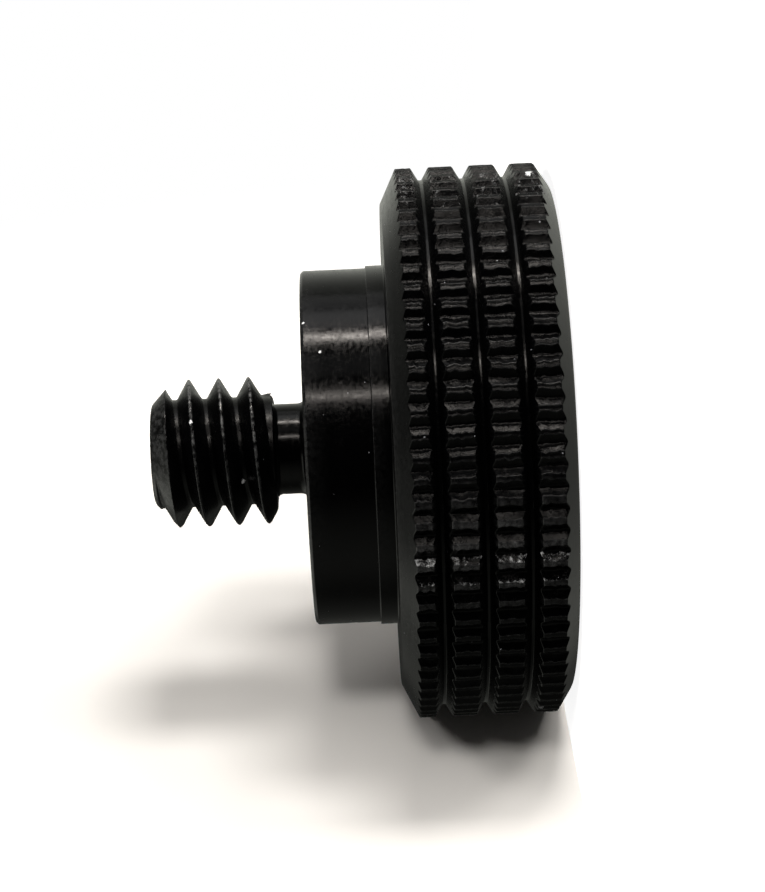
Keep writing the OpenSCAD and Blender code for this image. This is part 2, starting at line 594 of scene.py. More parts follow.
below_tip = soft_radius(0.0, np.array([tip_z - pitch / 2, tip_z - pitch]))
print("radius half a turn and one turn below the tip:", below_tip.round(3), "mm")

# %% [markdown]
# ## Where the thread begins
#
# The tool that cuts the thread plunges in beside the relief wall. It scoops a shallow
# hollow out of the wall, and it pushes up a small burr where the ridge starts. Both are
# soft bumps that are added to the rows nearby, which is simpler than sculpting them and
# easy to move round the axis.

# %% The scoop and the burr
scoop_depth = 0.17
scoop_half = 26
burr_angle = -1.0
burr_half = 6.5
burr_rise = 0.115
burr_hang = 0.12
burr_fades = 0.36
burr_hang_fades = 0.10


def scoop(angle):
    """How far the relief wall is cut back at this angle, deepest where the thread begins."""
    return scoop_depth * fade_round(angle, 0, scoop_half)


def lift_burr(angle, radii, heights, past):
    """The rows of a column pulled out and down over the burr; past is how far up each is."""
    here = fade_round(angle, burr_angle, burr_half)
    radii = radii + burr_rise * (here * np.clip(1 - past / burr_fades, 0, 1) ** 0.6)
    heights = heights - burr_hang * here * np.clip(1 - past / burr_hang_fades, 0, 1) ** 2
    return radii, heights


print(f"the scoop is {scoop(0.0):.2f} mm deep, and {scoop(90.0):.4f} mm a quarter turn away")

# %% The heights of the rows in one column
crest_limit = 0.45
crest_inset = 0.4
crest_round = 0.035
root_round = 0.05
past_root = 0.04
tip_round = 0.05
lead_rows = 27
foot_rows = 8
foot_low = 0.02
foot_high = 0.24
lead_from = tip_z - (thread_r - tip_r) * lead_slope
thread_end = tip_z - tip_round
level_rows = np.concatenate([
    np.linspace(lead_from - past_root, thread_end, lead_rows),
    np.linspace(relief_z + foot_low, relief_z + foot_high, foot_rows),
])


def ridge_rows(angle):
    """Heights that follow the ridge up one column, the same number for every turn of it."""
    middle, top = ridge_tops(angle)
    crest = crest_half + np.maximum(0, thread_r - np.maximum(top, root_r)) * flank_slope
    crest = np.minimum(crest, crest_limit)
    root = np.full(len(turns), crest_half + (thread_r - root_r) * flank_slope)
    upper = [crest * crest_inset, crest, crest + crest_round, (crest + root) / 2,
             root - root_round, root, root + past_root]
    lower = [-step for step in reversed(upper)]
    steps = [np.full(len(turns), -pitch / 2), *lower, *upper]
    return middle[:, None] + np.stack(steps, axis=1)


rows_in_a_turn = ridge_rows(0.0).shape[1]
print(f"{rows_in_a_turn} rows to a turn, and {len(level_rows)} level ones at the ends")

# %% One column of the thread
wall_rows = 5
wall_bend = 0.03
corner_lift = 0.004
tries = 12


def thread_column(angle):
    """Radii and heights up one column, from the foot of the relief wall to the tip."""
    edge_r = root_r
    for _ in range(tries):
        edge_z = relief_z + scoop(angle) + (edge_r - neck_r) * relief_slope
        edge_r = float(soft_radius(angle, np.array([edge_z]))[0])
    wall_r = np.linspace(neck_r + relief_fillet, edge_r - wall_bend, wall_rows)
    wall_z = relief_z + scoop(angle) + (wall_r - neck_r) * relief_slope

    start_z = edge_z + wall_bend
    heights = np.concatenate([ridge_rows(angle).ravel(), level_rows])
    heights = np.sort(np.clip(heights, start_z, thread_end))
    radii = np.minimum(soft_radius(angle, heights), lead_radius(heights))
    radii, heights = lift_burr(angle, radii, heights, heights - start_z)
    radii = np.concatenate([wall_r, [edge_r - corner_bend], radii])
    heights = np.concatenate([wall_z, [edge_z + corner_lift], heights])
    return radii, heights


column_angle = coarse_angle % 360
order = np.argsort(column_angle)
sorted_angle = column_angle[order]
columns_done = [thread_column(angle) for angle in sorted_angle]
grid_r = np.array([radii for radii, heights in columns_done]).T
grid_z = np.array([heights for radii, heights in columns_done]).T
rows_of_wall = wall_rows + 1
print(f"{grid_r.shape[0]} rows and {grid_r.shape[1]} columns of thread")

# %% The neck and the fillet under the relief wall
above_fillet = 0.2
below_wall = 0.1
round_rows = 6
scooped_from = 3
neck_rows = [
    (neck_r, collar_z + neck_fillet + above_fillet),
    (neck_r, relief_z - relief_fillet - below_wall),
]
relief_lean = math.atan(relief_slope)
round_r = neck_r + relief_fillet
round_z = relief_z + relief_fillet * relief_slope - relief_fillet / math.cos(relief_lean)
for part in np.linspace(0, 90 - math.degrees(relief_lean), round_rows)[:-1]:
    swing = math.radians(part)
    neck_rows.append((round_r - relief_fillet * math.cos(swing), round_z + relief_fillet * math.sin(swing)))

row = row[order]
for number, (radius, height) in enumerate(neck_rows):
    share = min(1.0, number / scooped_from)
    ring = add_row(sorted_angle, radius, height + share * scoop(sorted_angle), unworn)
    join_rows(row, ring, TURNED)
    row = ring
print(f"{len(neck_rows)} rows of neck")

# %% [markdown]
# ## Wear and painted reflection on the thread
#
# Each time the screw goes in, its crests drag along the threads of the hole. Here they
# are painted brightest round one side of the stud and nearly black on the other. The lead
# chamfer is painted pale too, a painted reflection of the pale paper past the tip. The
# note of wear is taken from how close each point comes to the crest, so it follows the
# ridge round without being drawn.

# %% The wall, the thread and its seam
drag_angle = -35
drag_half = 42
drag_least = 0.10
drag_most = 1.15
crest_band = 0.055
band_blend = 0.03
# The lead chamfer is painted pale: a painted reflection of the pale paper past the tip, not wear.
lead_painted_reflection = 0.14
lead_blend = 0.01
dragged = drag_least + drag_most * fade_round(sorted_angle, drag_angle, drag_half)
thread_grid = []
for radii, heights in zip(grid_r, grid_z):
    on_crest = np.clip((radii - thread_r + crest_band) / band_blend, 0, 1) * dragged
    on_lead = np.clip((radii - lead_radius(heights)) / lead_blend + 1, 0, 1)
    thread_grid.append(add_row(sorted_angle, radii, heights, np.maximum(on_crest, lead_painted_reflection * on_lead)))

for ring in thread_grid[:rows_of_wall + 1]:
    join_rows(row, ring, THREADED)
    row = ring

body = np.array(thread_grid[rows_of_wall:])
rows, columns = body.shape
for k in range(columns - 1):
    for j in range(rows - 1):
        add_face((body[j, k], body[j, k + 1], body[j + 1, k + 1], body[j + 1, k]), THREADED)
for j in range(rows - 1):
    here = min(j + rows_in_a_turn, rows - 1)
    there = min(j + 1 + rows_in_a_turn, rows - 1)
    add_face((body[j, columns - 1], body[here, 0], body[there, 0], body[j + 1, columns - 1]), THREADED)
print(f"{rows * columns} points over the thread, {len(faces)} faces so far")

# %% The tip
tip_bend_z = 0.018
tip_bend_r = 0.005
tip_bend_end = 0.045
tip_edge_wear = 0.7
tip_face_wear = 0.4
tip_rings = (1.6, 0.9, 0.3)
tip_outline = [
    (tip_r - tip_bend_r, tip_z - tip_bend_z, tip_edge_wear),
    (tip_r - tip_bend_end, tip_z, tip_face_wear),
    *((radius, tip_z, unworn) for radius in tip_rings),
]
row = body[-1]
for radius, height, wear_and_sheen in tip_outline:
    ring = add_row(sorted_angle, radius, height, wear_and_sheen)
    join_rows(row, ring, TURNED)
    row = ring
join_to_centre(row, add_centre(tip_z), TURNED)
print(f"{len(points)} points and {len(faces)} faces in all")

# %% [markdown]
# ## From lists to a mesh
#
# The lists become one mesh in a single call, which is much faster than adding faces one
# by one. The thread's rows bunch up where they are cut off, so points that fall together
# are merged, and the count of open edges shows that the skin is closed.

# %% Make the mesh
mesh = bpy.data.meshes.new("thumb_screw_skin")
in_metres = [tuple(float(v) * mm for v in point) for point in points]
corners = [tuple(int(v) for v in face) for face in faces]
mesh.from_pydata(in_metres, [], corners)
# The first note holds the wear and the painted reflections, the second where the pale bare colour goes.
for name, values in (("worn_edge", worn), ("bare_spot", bared)):
    note = mesh.attributes.new(name, "FLOAT", "POINT")
    note.data.foreach_set("value", np.array(values, np.float32))
mesh.polygons.foreach_set("material_index", np.array(finish_of_face, np.int32))
screw = bpy.data.objects.new("screw_skin", mesh)
bpy.context.scene.collection.objects.link(screw)
print(f"{len(mesh.vertices)} points before merging")

# %% Close it and count what is left open
merge_within = 2e-6
no_length = 1e-7
work = bmesh.new()
work.from_mesh(mesh)
bmesh.ops.remove_doubles(work, verts=work.verts[:], dist=merge_within)
bmesh.ops.dissolve_degenerate(work, edges=work.edges[:], dist=no_length)
bmesh.ops.recalc_face_normals(work, faces=work.faces[:])
open_edges = sum(1 for edge in work.edges if len(edge.link_faces) != 2)
volume = work.calc_volume() / mm ** 3
work.to_mesh(mesh)
work.free()
triangles = sum(len(polygon.vertices) - 2 for polygon in mesh.polygons)
print(f"{len(mesh.vertices)} points, {triangles} triangles, {open_edges} open edges, {volume:.1f} mm3")

# %% [markdown]
# ## Smooth shading that keeps flats flat
#
# Blender shades a smooth mesh with one normal at each point, a mean of the faces round it
# that takes no notice of their size. A sliver beside a bend pulls it as hard as the broad
# flat does, and a gloss finish then shows a dent along every edge. Counting each face by
# its area lets the broad ones win. The Weighted Normal modifier does much the same, but
# numbers set once leave no modifier on the piece.

# %% Normals weighted by area
polygons = len(mesh.polygons)
face_normal = np.empty(polygons * 3)
face_area = np.empty(polygons)
corners_of = np.empty(polygons, np.int64)
corner_point = np.empty(len(mesh.loops), np.int64)
mesh.polygons.foreach_get("normal", face_normal)
mesh.polygons.foreach_get("area", face_area)
mesh.polygons.foreach_get("loop_total", corners_of)
mesh.loops.foreach_get("vertex_index", corner_point)

pull = face_normal.reshape(-1, 3) * face_area[:, None]
point_normal = np.zeros((len(mesh.vertices), 3))
np.add.at(point_normal, corner_point, np.repeat(pull, corners_of, axis=0))
point_normal /= np.linalg.norm(point_normal, axis=1)[:, None]
mesh.shade_smooth()
mesh.normals_split_custom_set_from_vertices(point_normal.tolist())
print(f"{len(point_normal)} normals set")

# %% The skin stands for the measured solid
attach(screw, "root")
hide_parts("thumb_screw")
print("screw_skin rides on root and replaces thumb_screw")

# %% [markdown]
# ## Helpers for finishes
#
# The whole screw has one finish, a thin black film over turned metal. It still looks
# different from place to place: turned faces carry fine rings, the knurl is torn and
# rough, and the thread is satin with bright crests. Nodes could be placed and linked one
# by one, but most lines would say the same thing. A few small helpers add a node, feed it
# and hand back its output, so that a finish reads like a sum.

# %% Add one node at a time
def feed(tree, socket, value):
    """Link a socket to another one, or give it a plain number, vector or colour."""
    if isinstance(value, bpy.types.NodeSocket):
        tree.links.new(value, socket)
    else:
        socket.default_value = value


def add_math(tree, operation, first, second, clamp=False):
    """A Math node on two sockets or numbers."""
    node = tree.nodes.new("ShaderNodeMath")
    node.operation = operation
    node.use_clamp = clamp
    feed(tree, node.inputs[0], first)
    feed(tree, node.inputs[1], second)
    return node.outputs[0]


def product(tree, *values):
    """Several numbers multiplied together."""
    total = values[0]
    for value in values[1:]:
        total = add_math(tree, "MULTIPLY", total, value)
    return total


def rest_of(tree, value):
    """One minus a number."""
    return add_math(tree, "SUBTRACT", 1.0, value)


def add_vector_math(tree, operation, first, second=None):
    """A Vector Math node; LENGTH and DISTANCE put out a number."""
    node = tree.nodes.new("ShaderNodeVectorMath")
    node.operation = operation
    feed(tree, node.inputs[0], first)
    if second is not None:
        feed(tree, node.inputs[1], second)
    return node.outputs["Value"]


# %% Noise, ramps and mixed colours
def add_noise(tree, vector, scale, detail=2.0, roughness=0.5):
    """A Noise Texture on a vector in millimetres."""
    node = tree.nodes.new("ShaderNodeTexNoise")
    node.inputs["Detail"].default_value = detail
    node.inputs["Roughness"].default_value = roughness
    feed(tree, node.inputs["Scale"], scale)
    feed(tree, node.inputs["Vector"], vector)
    return node.outputs["Fac"]


def add_ramp(tree, value, low, high):
    """Zero below low, one above high, smooth between them."""
    node = tree.nodes.new("ShaderNodeMapRange")
    node.interpolation_type = "SMOOTHSTEP"
    feed(tree, node.inputs["From Min"], low)
    feed(tree, node.inputs["From Max"], high)
    feed(tree, node.inputs["Value"], value)
    return node.outputs["Result"]


def add_colour(tree, mask, under, over):
    """One colour over another, where the mask says."""
    node = tree.nodes.new("ShaderNodeMix")
    node.data_type = "RGBA"
    feed(tree, node.inputs["A"], under)
    feed(tree, node.inputs["B"], over)
    feed(tree, node.inputs["Factor"], mask)
    return node.outputs["Result"]


def add_shader_mix(tree, factor, first, second):
    """The first shader where the factor is zero, the second where it is one."""
    node = tree.nodes.new("ShaderNodeMixShader")
    feed(tree, node.inputs["Fac"], factor)
    feed(tree, node.inputs[1], first)
    feed(tree, node.inputs[2], second)
    return node.outputs[0]


# %% Make a node group and use it
def new_group(name, inputs, outputs):
    """A node group with a place in mm, named inputs and their starts, and named outputs."""
    group = bpy.data.node_groups.new(name, "ShaderNodeTree")
    group.interface.new_socket("Place in mm", in_out="INPUT", socket_type="NodeSocketVector")
    for label, start in inputs.items():
        kind = "NodeSocketVector" if isinstance(start, tuple) else "NodeSocketFloat"
        socket = group.interface.new_socket(label, in_out="INPUT", socket_type=kind)
        socket.default_value = start
    for label in outputs:
        group.interface.new_socket(label, in_out="OUTPUT", socket_type="NodeSocketFloat")
    enter = group.nodes.new("NodeGroupInput").outputs
    leave = group.nodes.new("NodeGroupOutput").inputs
    return group, enter, leave


def use_group(tree, group, values):
    """A group placed in a material, fed by the names of its inputs."""
    node = tree.nodes.new("ShaderNodeGroup")
    node.node_tree = group
    for label, value in values.items():
        feed(tree, node.inputs[label], value)
    return node


# %% [markdown]
# ## Turning marks
#
# A lathe tool leaves rings as fine as its feed, a tenth of a millimetre or so apart, that
# change slowly in depth. A wave texture draws rings that are far too even. Here a noise is
# stretched along one number, the distance from the axis plus the height, so that it turns
# into rings on a flat face and on a cylinder alike.

# %% The group for turning marks
marks, enter, leave = new_group("turning marks", {"Rings per mm": 12.0}, ("Height", "Tone"))
place = enter["Place in mm"]
apart = marks.nodes.new("ShaderNodeSeparateXYZ")
feed(marks, apart.inputs[0], place)
flat = marks.nodes.new("ShaderNodeCombineXYZ")
feed(marks, flat.inputs["X"], apart.outputs["X"])
feed(marks, flat.inputs["Y"], apart.outputs["Y"])
from_axis = add_vector_math(marks, "LENGTH", flat.outputs[0])
along = add_math(marks, "ADD", from_axis, apart.outputs["Z"])
wander = add_noise(marks, place, scale=0.25, detail=1.0)
wander_width = 0.12
along = add_math(marks, "ADD", along, product(marks, wander, wander_width))
line = marks.nodes.new("ShaderNodeCombineXYZ")
feed(marks, line.inputs["X"], product(marks, along, enter["Rings per mm"]))
rings = add_noise(marks, line.outputs[0], scale=1.0, detail=4.0, roughness=0.65)
broad = add_noise(marks, line.outputs[0], scale=0.13, detail=2.0)
feed(marks, leave["Height"], rings)
feed(marks, leave["Tone"], product(marks, rings, broad))
print("turning marks:", len(marks.nodes), "nodes")

# %% [markdown]
# ## Worn places and painted reflections
#
# Hands and mating threads rub the film away in patches, not in clean bands. The notes of
# wear and of painted reflection on the points say where; a coarse and a fine noise break
# them up into ragged flecks. The mask is metal that shines through where the film is worn,
# and a painted reflection on the knurl's crests and the lead chamfer. Where it is worn
# through the bare spot is pale and dull.

# %% The group for worn places and painted reflections
wear_inputs = {"Edge": 0.0, "Amount": 0.5, "Patches per mm": 5.0, "Bare from": 0.30, "Bare to": 0.70,
               "Bared": 0.0}
coarse_share = 0.65
fine_share = 0.35
through_from = 0.4
through_to = 1.3
wear_and_sheen, enter, leave = new_group("worn edges and painted sheen", wear_inputs, ("Mask", "Worn through"))
place = enter["Place in mm"]
patch = add_noise(wear_and_sheen, place, enter["Patches per mm"], detail=3.0, roughness=0.6)
fine = add_noise(wear_and_sheen, place, scale=22.0, detail=2.0, roughness=0.7)
mixed = add_math(wear_and_sheen, "ADD", product(wear_and_sheen, patch, coarse_share), product(wear_and_sheen, fine, fine_share))
broken = add_ramp(wear_and_sheen, mixed, enter["Bare from"], enter["Bare to"])
shown = product(wear_and_sheen, broken, enter["Edge"])
feed(wear_and_sheen, leave["Mask"], add_math(wear_and_sheen, "MULTIPLY", shown, enter["Amount"], clamp=True))
through = product(wear_and_sheen, broken, enter["Bared"])
feed(wear_and_sheen, leave["Worn through"], add_ramp(wear_and_sheen, through, through_from, through_to))
print("worn places:", len(wear_and_sheen.nodes), "nodes")

# %% [markdown]
# ## Specks and chips
#
# Up close a used part has grains of dust and pinholes all over, and a few real chips. The
# grains are the middles of some cells of a Voronoi texture. A chip lies in one certain
# place, so it is a small ball with a ragged surface that cuts the skin there.

# %% The group for specks
rarely = 0.84
specks, enter, leave = new_group("specks", {"Grains per mm": 2.5, "Grain size": 0.06}, ("Mask",))
cells = specks.nodes.new("ShaderNodeTexVoronoi")
feed(specks, cells.inputs["Vector"], enter["Place in mm"])
feed(specks, cells.inputs["Scale"], enter["Grains per mm"])
near = add_math(specks, "LESS_THAN", cells.outputs["Distance"], enter["Grain size"])
some = specks.nodes.new("ShaderNodeSeparateColor")
feed(specks, some.inputs[0], cells.outputs["Color"])
few = add_math(specks, "GREATER_THAN", some.outputs[0], rarely)
feed(specks, leave["Mask"], product(specks, near, few))
print("specks:", len(specks.nodes), "nodes")

# %% The group for one chip
chip_inputs = {"Centre in mm": (0.0, 0.0, 0.0), "Size in mm": 0.1}
chip, enter, leave = new_group("one chip", chip_inputs, ("Mask",))
away = add_vector_math(chip, "DISTANCE", enter["Place in mm"], enter["Centre in mm"])
ragged = add_noise(chip, enter["Place in mm"], scale=16.0, detail=2.0, roughness=0.6)
reach = product(chip, enter["Size in mm"], product(chip, ragged, 2.0))
feed(chip, leave["Mask"], add_math(chip, "LESS_THAN", away, reach))
print("one chip:", len(chip.nodes), "nodes")

# %% [markdown]
# ## The three black finishes
#
# A near-black base with a low index of refraction keeps the faces that look at you deep,
# while edges seen at a slant still shine. A darker base alone wouldn't do it, since gloss
# is added on top of the base. Masks then lift the colour to worn metal and painted
# reflection, to dust and to bare spots, in that order. Only the numbers differ between
# the turned, knurled and threaded surfaces, so one function builds all three.

# %% Colours under and over the black
black = (0.0006, 0.0006, 0.0007, 1.0)
# This pale metal colour paints worn metal, and also the reflections painted on the knurl's crests and the
# lead chamfer.
worn_metal_and_sheen = (0.30, 0.295, 0.285, 1.0)
dust = (0.30, 0.30, 0.31, 1.0)
bare_spot = (0.75, 0.74, 0.72, 1.0)
chips = {
    "chip on the rim": ((10.75, -4.36, 0.96), 0.13),
    "chip low on the rim": ((-11.22, -2.84, 1.36), 0.12),
    "speck on the collar": ((4.94, -5.67, 10.41), 0.055),
    "speck on the collar front": ((3.69, -6.56, 9.77), 0.06),
    "speck on the thread": ((1.25, -2.88, 15.32), 0.09),
    "speck in the thread": ((-1.31, -1.94, 13.31), 0.09),
}
print(f"{len(chips)} chips and specks")


# %% Chips, roughness and bump of one finish
def chipped_spots(tree, place, through):
    """A mask of all the chips, and of the places that are worn through."""
    mask = through
    for label, (centre, size) in chips.items():
        values = {"Place in mm": place, "Centre in mm": centre, "Size in mm": size}
        node = use_group(tree, chip, values)
        node.label = label
        mask = add_math(tree, "MAXIMUM", mask, node.outputs["Mask"])
    return mask


def uneven_roughness(tree, place, tone, smoothest, roughest, mottles_per_mm):
    """Roughness that changes with the turning marks and in soft mottles."""
    mottle = add_noise(tree, place, mottles_per_mm, detail=3.0, roughness=0.6)
    spread = add_math(tree, "ADD", product(tree, tone, 0.8), mottle)
    rough = tree.nodes.new("ShaderNodeMapRange")
    rough.inputs["From Min"].default_value = 0.50
    rough.inputs["From Max"].default_value = 0.95
    rough.inputs["To Min"].default_value = smoothest
    rough.inputs["To Max"].default_value = roughest
    feed(tree, rough.inputs["Value"], spread)
    return rough.outputs["Result"]


def fine_relief(tree, place, height, depth):
    """A bump from the turning marks and a little grit; the depth is in millimetres."""
    grit = add_noise(tree, place, scale=9.0, detail=3.0, roughness=0.7)
    bump = tree.nodes.new("ShaderNodeBump")
    bump.inputs["Strength"].default_value = 1.0
    bump.inputs["Distance"].default_value = depth * mm
    feed(tree, bump.inputs["Height"], add_math(tree, "ADD", height, product(tree, grit, 0.5)))
    return bump.outputs["Normal"]


# %% Build one black finish
def note_on_points(tree, name):
    """A value that the mesh keeps on its points."""
    node = tree.nodes.new("ShaderNodeAttribute")
    node.attribute_name = name
    return node.outputs["Fac"]


def black_finish(name, index, rings_per_mm, relief_depth, smoothest, roughest, mottles_per_mm,
                 edge_wear, grain_size, bare_from=0.30, bare_to=0.70):
    """A satin black material with its own turning marks, worn places, painted reflections and specks."""
    material = bpy.data.materials.new(name)
    material.use_nodes = True
    tree = material.node_tree
    shader = tree.nodes["Principled BSDF"]
    shader.inputs["IOR"].default_value = index

    object_place = tree.nodes.new("ShaderNodeTexCoord").outputs["Object"]
    scaled = tree.nodes.new("ShaderNodeVectorMath")
    scaled.operation = "SCALE"
    scaled.inputs["Scale"].default_value = 1 / mm
    feed(tree, scaled.inputs[0], object_place)
    place = scaled.outputs[0]

    turned = use_group(tree, marks, {"Place in mm": place, "Rings per mm": rings_per_mm})
    wear_and_sheen_node = use_group(tree, wear_and_sheen, {
        "Place in mm": place,
        "Edge": note_on_points(tree, "worn_edge"),
        "Bared": note_on_points(tree, "bare_spot"),
        "Amount": edge_wear,
        "Bare from": bare_from,
        "Bare to": bare_to,
    })
    dusty = use_group(tree, specks, {"Place in mm": place, "Grain size": grain_size})
    chipped = chipped_spots(tree, place, wear_and_sheen_node.outputs["Worn through"])

    # This mask paints worn metal and the painted reflections alike.
    metal = wear_and_sheen_node.outputs["Mask"]
    colour = add_colour(tree, metal, black, worn_metal_and_sheen)
    colour = add_colour(tree, dusty.outputs["Mask"], colour, dust)
    colour = add_colour(tree, chipped, colour, bare_spot)
    rough = uneven_roughness(tree, place, turned.outputs["Tone"], smoothest, roughest, mottles_per_mm)
    feed(tree, shader.inputs["Base Color"], colour)
    feed(tree, shader.inputs["Metallic"], product(tree, metal, rest_of(tree, chipped)))
    feed(tree, shader.inputs["Roughness"], rough)
    feed(tree, shader.inputs["Normal"], fine_relief(tree, place, turned.outputs["Height"], relief_depth))
    return material


# %% The finishes of the three surfaces, in the order of the faces' numbers
# The edge wear amounts scale the painted reflections as well.
finishes = (
    black_finish("turned black", index=1.30, rings_per_mm=8.0, relief_depth=0.0022, smoothest=0.08,
                 roughest=0.28, mottles_per_mm=6.0, edge_wear=0.22, grain_size=0.05),
    black_finish("knurled black", index=1.23, rings_per_mm=6.0, relief_depth=0.018, smoothest=0.08,
                 roughest=0.36, mottles_per_mm=4.0, edge_wear=0.42, grain_size=0.08),
    black_finish("threaded black", index=1.30, rings_per_mm=10.0, relief_depth=0.002, smoothest=0.20,
                 roughest=0.40, mottles_per_mm=4.0, edge_wear=0.70, grain_size=0.06,
                 bare_from=0.44, bare_to=0.60),
)
for material in finishes:
    mesh.materials.append(material)
print("finishes:", [material.name for material in mesh.materials])

# %% [markdown]
# ## The room
#
# Black gloss is drawn by what it mirrors, so the room matters more to it than the lamps.
# In a plain white room every edge seen at a slant would turn grey. A real room has darker
# and paler sides, so mirrored rays see a dim room with a few pale places in it. The lens,
# and rays through glass, see plain white, and matt surfaces get a little even daylight.
# An image wrapped round the scene would do the same, but a few smooth steps over the
# direction of the ray need no file, and each can be moved without the others.

# %% Directions in the room
world = bpy.data.worlds.new("studio")
bpy.context.scene.world = world
world.use_nodes = True
tree = world.node_tree
tree.nodes.clear()
way = tree.nodes.new("ShaderNodeTexCoord")
apart = tree.nodes.new("ShaderNodeSeparateXYZ")
feed(tree, apart.inputs[0], way.outputs["Generated"])
across, away, up = (apart.outputs[n] for n in ("X", "Y", "Z"))
back_across = add_math(tree, "MULTIPLY", across, -1.0)
down = add_math(tree, "MULTIPLY", up, -1.0)


def towards(direction, low, high):
    """Zero for rays that lean less than low that way, one for those that lean more than high."""
    return add_ramp(tree, direction, low, high)


def place_in_room(strength, *shares):
    """A pale place: the shares are multiplied, and the last factor is its strength."""
    return product(tree, *shares, strength)


print("the room is described by the direction of each ray")

# %% Pale places behind the screw
upper_side = towards(across, -0.10, 0.22)
behind = towards(away, 0.0, 0.6)
overhead = towards(up, 0.93, 0.99)
level_with_screw = rest_of(tree, towards(up, 0.30, 0.62))
low_and_level = rest_of(tree, towards(up, 0.05, 0.30))
wall = place_in_room(0.11, behind, upper_side, rest_of(tree, overhead))
level_wall = place_in_room(0.12, towards(away, 0.1, 0.5), upper_side, level_with_screw)
far_wall = place_in_room(0.30, towards(away, 0.45, 0.95), upper_side, level_with_screw)
low_wall = place_in_room(0.07, behind, towards(back_across, 0.0, 0.3), low_and_level)
beyond_the_head = place_in_room(0.42, behind, towards(down, 0.35, 0.75))
backs = (wall, level_wall, far_wall, low_wall, beyond_the_head)
print(f"{len(backs)} pale places behind the screw")

# %% Pale places beside the screw and overhead
in_front = rest_of(tree, towards(away, -0.25, 0.45))
below_the_top = rest_of(tree, towards(up, 0.50, 0.70))
paper_in_front = place_in_room(0.20, towards(back_across, 0.45, 1.0), in_front)
paper_past_the_tip = place_in_room(1.2, towards(back_across, 0.15, 0.35), towards(up, 0.55, 0.75))
paper_behind = place_in_room(0.32, towards(back_across, 0.25, 0.6), towards(away, 0.0, 0.4),
                             towards(up, 0.08, 0.30), below_the_top)
past_the_collar = place_in_room(0.13, towards(back_across, -0.10, 0.05), towards(away, 0.45, 0.56),
                                towards(up, 0.15, 0.45))
ceiling = place_in_room(0.5, overhead)
sides = (paper_in_front, paper_past_the_tip, paper_behind, past_the_collar, ceiling)
print(f"{len(sides)} pale places beside and above it")

# %% Who sees which room
darkest = 0.002
dim_daylight = 0.06
room_light = darkest
for share in (*backs, *sides):
    room_light = add_math(tree, "ADD", room_light, share)


def background(colour, strength):
    """One way for the room to look."""
    node = tree.nodes.new("ShaderNodeBackground")
    feed(tree, node.inputs["Color"], colour)
    feed(tree, node.inputs["Strength"], strength)
    return node.outputs[0]


plain = (1.0, 1.0, 1.0, 1.0)
room_colour = (1.0, 1.02, 0.92, 1.0)
mirrored = background(room_colour, room_light)
daylight = background(plain, dim_daylight)
white = background(plain, 1.0)
path = tree.nodes.new("ShaderNodeLightPath")
seen = add_math(tree, "MAXIMUM", path.outputs["Is Camera Ray"], path.outputs["Is Transmission Ray"])
lit = add_shader_mix(tree, path.outputs["Is Glossy Ray"], daylight, mirrored)
end = tree.nodes.new("ShaderNodeOutputWorld")
feed(tree, end.inputs["Surface"], add_shader_mix(tree, seen, lit, white))
print("the room:", len(tree.nodes), "nodes")

# %% [markdown]
# ## The lamps
#
# A softbox is a flat bright panel. Its mirror image draws a streak along the collar, and
# its light throws soft shadows, but a panel that suits the one seldom suits the other. So
# the two jobs are split. Narrow strips are only seen in gloss: two bright ones make the
# two streaks and three faint ones fill between them. Broad keys light the paper and all
# that is matt on the screw, and aren't mirrored.
# The strength is set as radiance, the brightness of the panel itself, so that a panel can
# change its size or distance and its streak stays as bright.

# %% A lamp and a place round the screw
middle_of_screw = (0, 0, 9)


def soft_lamp(name, place, width, length, radiance, tint=(1.0, 1.0, 1.0)):
    """A flat lamp of a given radiance that faces the screw, its long side along z."""
    light = bpy.data.lights.new(name, "AREA")
    light.shape = "RECTANGLE"
    light.size = width * mm
    light.size_y = length * mm
    light.color = tint
    light.energy = radiance * math.pi * width * length * mm * mm
    lamp = bpy.data.objects.new(name, light)
    bpy.context.scene.collection.objects.link(lamp)
    lamp.location = Vector(place) * mm
    back = (Vector(place) - Vector(middle_of_screw)).normalized()
    side = Vector((0, 0, 1)).cross(back).normalized()
    top = back.cross(side)
    lamp.rotation_mode = "QUATERNION"
    lamp.rotation_quaternion = Matrix((side, top, back)).transposed().to_quaternion()
    lamp.visible_camera = False
    print(f"{name}: {light.energy * 1000:.3f} mW")
    return lamp


def round_the_screw(degrees, distance, height):
    """A place at this turn from the side of the lens towards +x."""
    turn = math.radians(degrees)
    return (distance * math.sin(turn), -distance * math.cos(turn), height)


# %% Strips that are only seen in gloss
warm = (1.0, 0.93, 0.86)
strip_distance = 150
strip_height = 20
strip_length = 110


def strip(name, degrees, width, radiance, tint=(1.0, 1.0, 1.0)):
    """A long narrow panel that draws a streak and lights nothing matt."""
    place = round_the_screw(degrees, strip_distance, strip_height)
    lamp = soft_lamp(name, place, width, strip_length, radiance, tint)
    lamp.visible_diffuse = False
    return lamp


strips = (
    strip("upper strip", degrees=71.5, width=10, radiance=31, tint=warm),
    strip("front strip", degrees=30.5, width=9, radiance=14.6, tint=warm),
    strip("wide strip", degrees=86, width=40, radiance=1.3),
    strip("fill strip", degrees=102, width=40, radiance=0.42),
    strip("faint strip", degrees=51, width=40, radiance=0.24),
)

